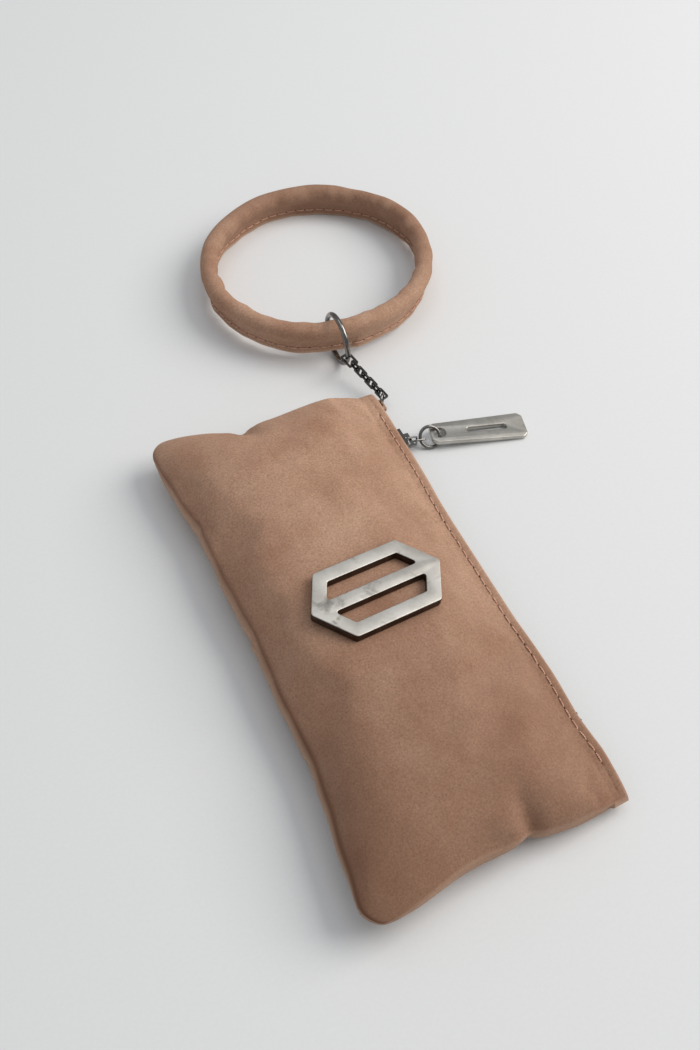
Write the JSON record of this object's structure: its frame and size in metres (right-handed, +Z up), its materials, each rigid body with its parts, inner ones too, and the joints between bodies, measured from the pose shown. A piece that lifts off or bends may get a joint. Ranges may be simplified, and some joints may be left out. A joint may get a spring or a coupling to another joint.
{
  "type": "wristlet wallet",
  "caption": "Padded suede wristlet pouch with a zip along a long edge, a metal plaque, a bar zip pull and a round wrist strap on a ring and short box chain.",
  "frame": {"origin": "middle of the whole object's footprint, on the surface that it lies on", "axes": "+Z up from the surface, +Y along the pouch from its far end towards the wrist strap, +X from the closed long edge towards the zip edge"},
  "size_m": [0.1372, 0.2907, 0.0272],
  "materials": {
    "suede": "tan-brown suede with a fine short nap, slightly mottled",
    "thread": "matte polyester topstitching thread, a little lighter than the suede",
    "interlining": "soft non-woven wadding",
    "lining": "plain woven dark brown lining cloth",
    "zip_tape": "tightly woven dark brown zip tape",
    "cord": "soft twisted filler cord",
    "nickel": "satin antique nickel plate, darker at the edges",
    "gunmetal": "polished dark gunmetal plate"
  },
  "bodies": {
    "pouch": {"front_panel": "suede", "back_panel": "suede", "front_interlining": "interlining", "back_interlining": "interlining", "front_lining": "lining", "back_lining": "lining", "front_zip_tape": "zip_tape", "back_zip_tape": "zip_tape", "front_zip_teeth": "gunmetal", "back_zip_teeth": "gunmetal", "zip_top_stops": "gunmetal", "zip_bottom_stop": "gunmetal", "front_edge_stitching": "thread", "back_edge_stitching": "thread", "plaque": "nickel", "plaque_posts": "nickel", "plaque_washers": "nickel", "corner_tab": "suede"},
    "slider": {"slider_body": "gunmetal", "slider_bridge": "gunmetal"},
    "pull_link_1": {"pull_link_1": "gunmetal"},
    "pull_link_2": {"pull_link_2": "gunmetal"},
    "jump_ring": {"jump_ring": "gunmetal"},
    "pull_bar": {"pull_bar": "nickel"},
    "corner_ring": {"corner_ring": "nickel"},
    "chain_link_1": {"chain_link_1": "gunmetal"},
    "chain_link_2": {"chain_link_2": "gunmetal"},
    "chain_link_3": {"chain_link_3": "gunmetal"},
    "chain_link_4": {"chain_link_4": "gunmetal"},
    "chain_link_5": {"chain_link_5": "gunmetal"},
    "chain_link_6": {"chain_link_6": "gunmetal"},
    "chain_link_7": {"chain_link_7": "gunmetal"},
    "o_ring": {"o_ring": "gunmetal"},
    "strap": {"strap_cover": "suede", "strap_core": "cord", "strap_stitching": "thread"}
  },
  "joints": [
    {"name": "slider_slide", "type": "slide", "parent": "pouch", "child": "slider", "axis": [0, -1, 0], "range_m": [0, 0.133]},
    {"name": "pull_link_1_swing", "type": "hinge", "parent": "slider", "child": "pull_link_1", "pos_m": [0.01508, 0.00414, 0.0043], "axis": [0.2139, 0.4226, 0.8807], "range_deg": [-30, 10]},
    {"name": "pull_link_2_swing", "type": "hinge", "parent": "pull_link_1", "child": "pull_link_2", "pos_m": [0.01887, 0.00414, 0.00338], "axis": [-0.2139, -0.4226, -0.8807], "range_deg": [-20, 20]},
    {"name": "jump_ring_swing", "type": "hinge", "parent": "pull_link_2", "child": "jump_ring", "pos_m": [0.02164, 0.00414, 0.00271], "axis": [0.1808, -0.6428, 0.7444], "range_deg": [-25, 25]},
    {"name": "pull_bar_swing", "type": "hinge", "parent": "jump_ring", "child": "pull_bar", "pos_m": [0.02792, 0.00414, 0.00298], "axis": [0, -0.766, -0.6428], "range_deg": [-12, 12]},
    {"name": "corner_ring_swing", "type": "hinge", "parent": "pouch", "child": "corner_ring", "pos_m": [0.01403, 0.02364, 0.0043], "axis": [0, 0, 1], "range_deg": [-20, 12]},
    {"name": "chain_link_1_swing", "type": "hinge", "parent": "corner_ring", "child": "chain_link_1", "pos_m": [0.01716, 0.02779, 0.0043], "axis": [0, 0, -1], "range_deg": [-20, 20]},
    {"name": "chain_link_2_swing", "type": "hinge", "parent": "chain_link_1", "child": "chain_link_2", "pos_m": [0.01635, 0.03065, 0.0049], "axis": [-0.9626, -0.2707, 0], "range_deg": [-20, 20]},
    {"name": "chain_link_3_swing", "type": "hinge", "parent": "chain_link_2", "child": "chain_link_3", "pos_m": [0.01557, 0.03343, 0.00548], "axis": [0.0535, -0.1902, 0.9803], "range_deg": [-20, 20]},
    {"name": "chain_link_4_swing", "type": "hinge", "parent": "chain_link_3", "child": "chain_link_4", "pos_m": [0.01479, 0.03621, 0.00606], "axis": [0.9626, 0.2707, 0], "range_deg": [-20, 20]},
    {"name": "chain_link_5_swing", "type": "hinge", "parent": "chain_link_4", "child": "chain_link_5", "pos_m": [0.014, 0.039, 0.00665], "axis": [-0.0535, 0.1902, -0.9803], "range_deg": [-20, 20]},
    {"name": "chain_link_6_swing", "type": "hinge", "parent": "chain_link_5", "child": "chain_link_6", "pos_m": [0.01322, 0.04178, 0.00723], "axis": [-0.9626, -0.2707, 0], "range_deg": [-20, 20]},
    {"name": "chain_link_7_swing", "type": "hinge", "parent": "chain_link_6", "child": "chain_link_7", "pos_m": [0.01244, 0.04457, 0.00781], "axis": [0.0535, -0.1902, 0.9803], "range_deg": [-20, 20]},
    {"name": "o_ring_swing", "type": "hinge", "parent": "chain_link_7", "child": "o_ring", "pos_m": [0.01135, 0.04843, 0.00862], "axis": [0.9626, 0.2707, 0], "range_deg": [-20, 20]},
    {"name": "strap_turn", "type": "hinge", "parent": "o_ring", "child": "strap", "pos_m": [0.02249, 0.09903, 0.00159], "axis": [0.0092, 0.0353, 0.9993], "continuous": true}
  ]
}
